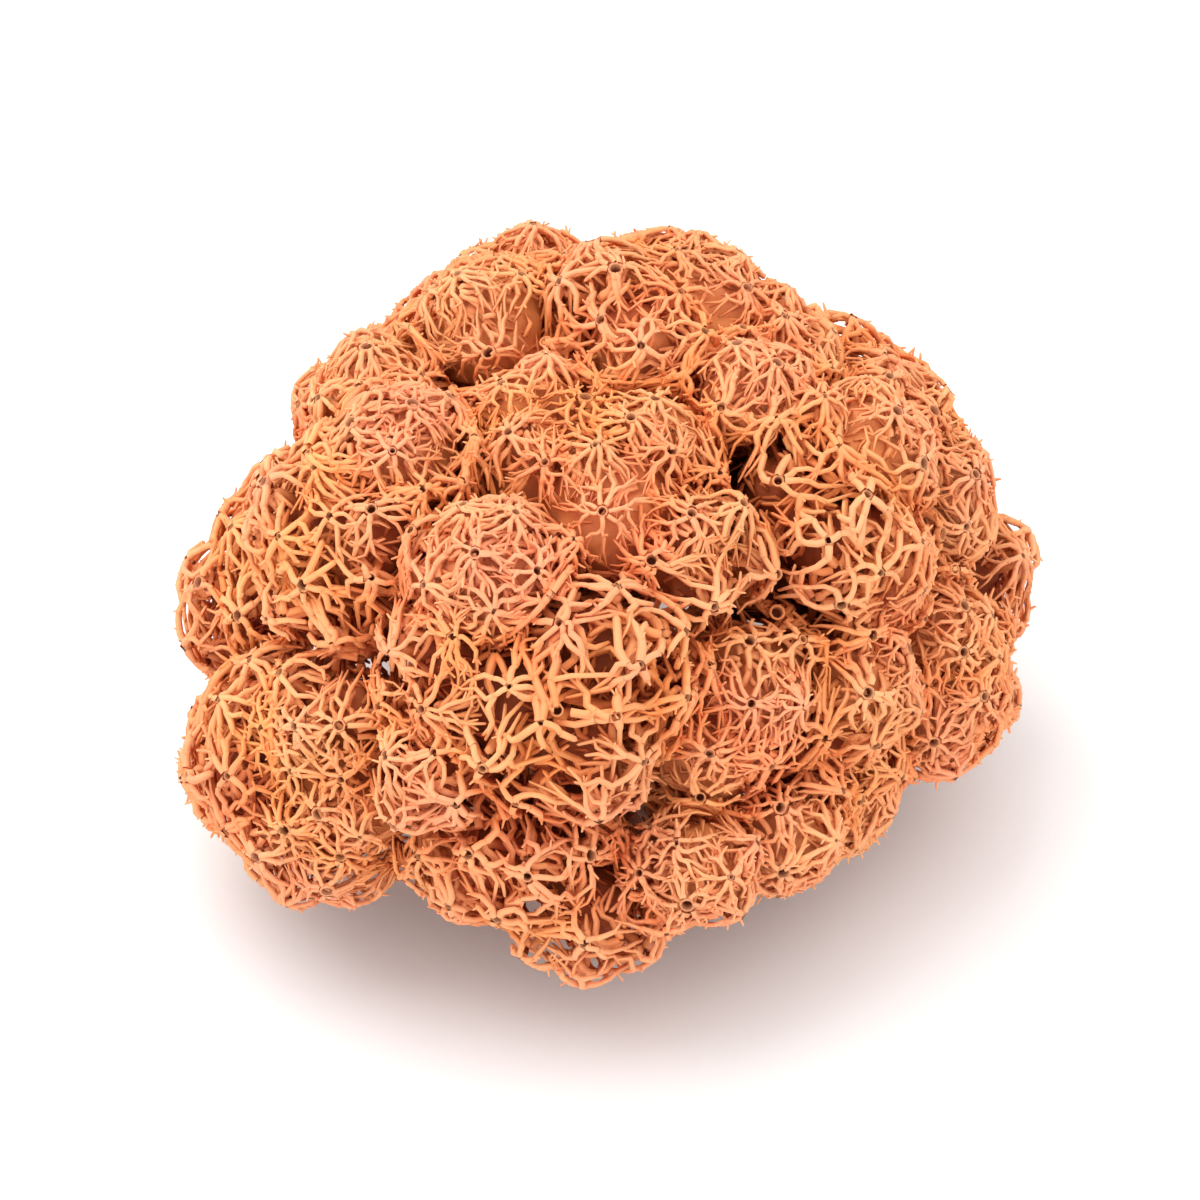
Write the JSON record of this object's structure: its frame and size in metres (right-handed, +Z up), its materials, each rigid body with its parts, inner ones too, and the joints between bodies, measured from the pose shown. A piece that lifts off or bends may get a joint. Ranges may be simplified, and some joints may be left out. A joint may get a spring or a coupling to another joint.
{
  "type": "reindeer moss clump",
  "caption": "Rounded cushion of preserved, dyed reindeer moss: branching podetia with cauliflower crowns of fine pointed prongs over bare stalks.",
  "frame": {"origin": "middle of the cut ends of the stalks, on the surface that the clump stands on", "axes": "+Z up through the dome, +X along the clump's longest side, +Y across it"},
  "size_m": [0.0609, 0.0548, 0.0419],
  "materials": {
    "lichen": "matt, soft and dry, preserved lichen dyed apricot, paler at the tips and redder inside"
  },
  "bodies": {
    "root": {"podetium_1": "lichen", "podetium_2": "lichen", "podetium_3": "lichen", "podetium_4": "lichen", "podetium_5": "lichen", "podetium_6": "lichen", "podetium_7": "lichen", "podetium_8": "lichen", "podetium_9": "lichen", "podetium_10": "lichen", "podetium_11": "lichen", "podetium_12": "lichen", "podetium_13": "lichen", "podetium_14": "lichen"}
  },
  "joints": []
}
